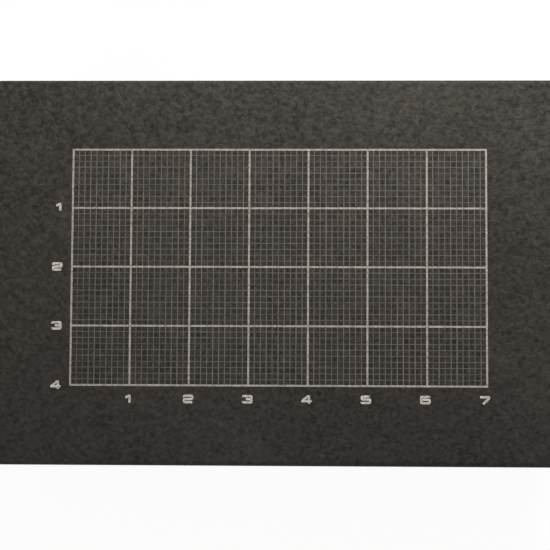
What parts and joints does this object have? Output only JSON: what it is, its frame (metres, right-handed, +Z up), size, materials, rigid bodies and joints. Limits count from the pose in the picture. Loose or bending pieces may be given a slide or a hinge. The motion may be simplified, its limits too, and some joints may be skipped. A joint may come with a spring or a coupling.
{
  "type": "tube tester",
  "caption": "Portable tube tester in a black crackle-finished steel case with a hinged lid printed with a numbered grid; meter, sockets, knobs and levers inside",
  "frame": {"origin": "under the middle of the case, on the plane that the rubber feet stand on", "axes": "+X to the right along the front, +Y from the front to the hinge at the back, +Z up through the lid"},
  "size_m": [0.254, 0.1691, 0.1086],
  "materials": {
    "case_paint": "black crackle enamel, satin",
    "print_ink": "cream silk-screened ink",
    "panel_paint": "warm grey enamel, satin",
    "steel": "plated steel",
    "bright": "bright nickel plate",
    "brass": "bare brass",
    "rubber": "black rubber",
    "bakelite": "black bakelite, polished",
    "phenolic": "brown phenolic",
    "ivory": "ivory plastic",
    "red_plastic": "red plastic",
    "dial_card": "printed dial card",
    "pane": "clear glass",
    "jewel": "red moulded glass",
    "iron": "varnished iron laminations",
    "winding": "varnished cloth over the winding",
    "needle_paint": "black lacquer",
    "spring_steel": "spring steel wire"
  },
  "bodies": {
    "case": {"case_pan": "case_paint", "rubber_feet": "rubber", "case_hinge_leaf": "steel", "hinge_pin": "steel", "handle_dish": "case_paint", "catch_bezels": "bright", "catch_guides": "steel", "mains_inlet": "bakelite", "inlet_pins": "brass", "panel_frame": "steel", "control_panel": "panel_paint", "panel_screws": "steel", "panel_nuts": "bright", "meter_bezel": "bakelite", "meter_can": "bakelite", "meter_dial": "dial_card", "meter_window": "pane", "socket_contacts": "brass", "control_bodies": "steel", "lever_frame": "steel", "lever_rod": "steel", "button_bodies": "steel", "toggle_body": "steel", "pilot_holder": "bright", "pilot_jewel": "jewel", "transformer_core": "iron", "transformer_coil": "winding", "transformer_bolts": "steel", "tag_board": "phenolic", "tag_board_pillars": "steel", "board_parts": "phenolic", "octal_socket": "phenolic", "twelve_pin_socket": "phenolic", "nine_pin_socket": "phenolic", "seven_pin_socket": "phenolic", "test_button_spring": "spring_steel", "leakage_button_spring": "spring_steel"},
    "lid": {"lid_shell": "case_paint", "grid_print": "print_ink", "lid_hinge_leaf": "steel", "lid_hooks": "steel"},
    "handle": {"handle_bail": "bright"},
    "catch_left": {"catch_button_left": "bright"},
    "catch_right": {"catch_button_right": "bright"},
    "filament_control": {"filament_knob": "bakelite", "filament_shaft": "steel"},
    "load_control": {"load_knob": "bakelite", "load_shaft": "steel"},
    "bias_control": {"bias_knob": "bakelite", "bias_shaft": "steel"},
    "test_key": {"test_button": "red_plastic"},
    "leakage_key": {"leakage_button": "bakelite"},
    "power_switch": {"power_toggle": "bright"},
    "needle": {"meter_needle": "needle_paint"},
    "zero_adjuster": {"meter_zero_screw": "bakelite"},
    "lever_switch_1": {"lever_1": "ivory"},
    "lever_switch_2": {"lever_2": "ivory"},
    "lever_switch_3": {"lever_3": "ivory"},
    "lever_switch_4": {"lever_4": "ivory"},
    "lever_switch_5": {"lever_5": "ivory"}
  },
  "joints": [
    {"name": "lid_hinge", "type": "hinge", "parent": "case", "child": "lid", "pos_m": [0, 0.08349, 0.07825], "axis": [-1, 0, 0], "range_deg": [0, 105]},
    {"name": "handle_fold", "type": "hinge", "parent": "case", "child": "handle", "pos_m": [0, -0.07688, 0.05022], "axis": [-1, 0, 0], "range_deg": [0, 90]},
    {"name": "catch_left_press", "type": "slide", "parent": "case", "child": "catch_left", "axis": [0, 1, 0], "range_m": [0, 0.0045], "stiffness_N_per_m": 400},
    {"name": "catch_right_press", "type": "slide", "parent": "case", "child": "catch_right", "axis": [0, 1, 0], "range_m": [0, 0.0045], "stiffness_N_per_m": 400},
    {"name": "filament_turn", "type": "hinge", "parent": "case", "child": "filament_control", "pos_m": [-0.00201, -0.04149, 0.074], "axis": [0, 0, -1], "range_deg": [0, 300]},
    {"name": "load_turn", "type": "hinge", "parent": "case", "child": "load_control", "pos_m": [0.04467, -0.04149, 0.074], "axis": [0, 0, -1], "range_deg": [0, 300]},
    {"name": "bias_turn", "type": "hinge", "parent": "case", "child": "bias_control", "pos_m": [0.0958, -0.04149, 0.074], "axis": [0, 0, -1], "range_deg": [0, 300]},
    {"name": "lever_1_tilt", "type": "hinge", "parent": "case", "child": "lever_switch_1", "pos_m": [-0.10365, -0.0183, 0.057], "axis": [1, 0, 0], "range_deg": [-14, 14]},
    {"name": "lever_2_tilt", "type": "hinge", "parent": "case", "child": "lever_switch_2", "pos_m": [-0.08865, -0.0183, 0.057], "axis": [1, 0, 0], "range_deg": [-14, 14]},
    {"name": "lever_3_tilt", "type": "hinge", "parent": "case", "child": "lever_switch_3", "pos_m": [-0.07365, -0.0183, 0.057], "axis": [1, 0, 0], "range_deg": [-14, 14]},
    {"name": "lever_4_tilt", "type": "hinge", "parent": "case", "child": "lever_switch_4", "pos_m": [-0.05865, -0.0183, 0.057], "axis": [1, 0, 0], "range_deg": [-14, 14]},
    {"name": "lever_5_tilt", "type": "hinge", "parent": "case", "child": "lever_switch_5", "pos_m": [-0.04365, -0.0183, 0.057], "axis": [1, 0, 0], "range_deg": [-14, 14]},
    {"name": "test_press", "type": "slide", "parent": "case", "child": "test_key", "axis": [0, 0, -1], "range_m": [0, 0.003], "stiffness_N_per_m": 400, "deforming": ["test_button_spring"]},
    {"name": "leakage_press", "type": "slide", "parent": "case", "child": "leakage_key", "axis": [0, 0, -1], "range_m": [0, 0.003], "stiffness_N_per_m": 400, "deforming": ["leakage_button_spring"]},
    {"name": "power_flip", "type": "hinge", "parent": "case", "child": "power_switch", "pos_m": [0.0958, 0.00998, 0.0745], "axis": [-1, 0, 0], "range_deg": [0, 24]},
    {"name": "needle_swing", "type": "hinge", "parent": "case", "child": "needle", "pos_m": [-0.07365, 0.01746, 0.0773], "axis": [0, 0, -1], "range_deg": [0, 90], "stiffness_Nm_per_rad": 0.0002},
    {"name": "zero_turn", "type": "hinge", "parent": "case", "child": "zero_adjuster", "pos_m": [-0.07365, 0.01746, 0.085], "axis": [0, 0, 1], "range_deg": [-40, 40]}
  ]
}
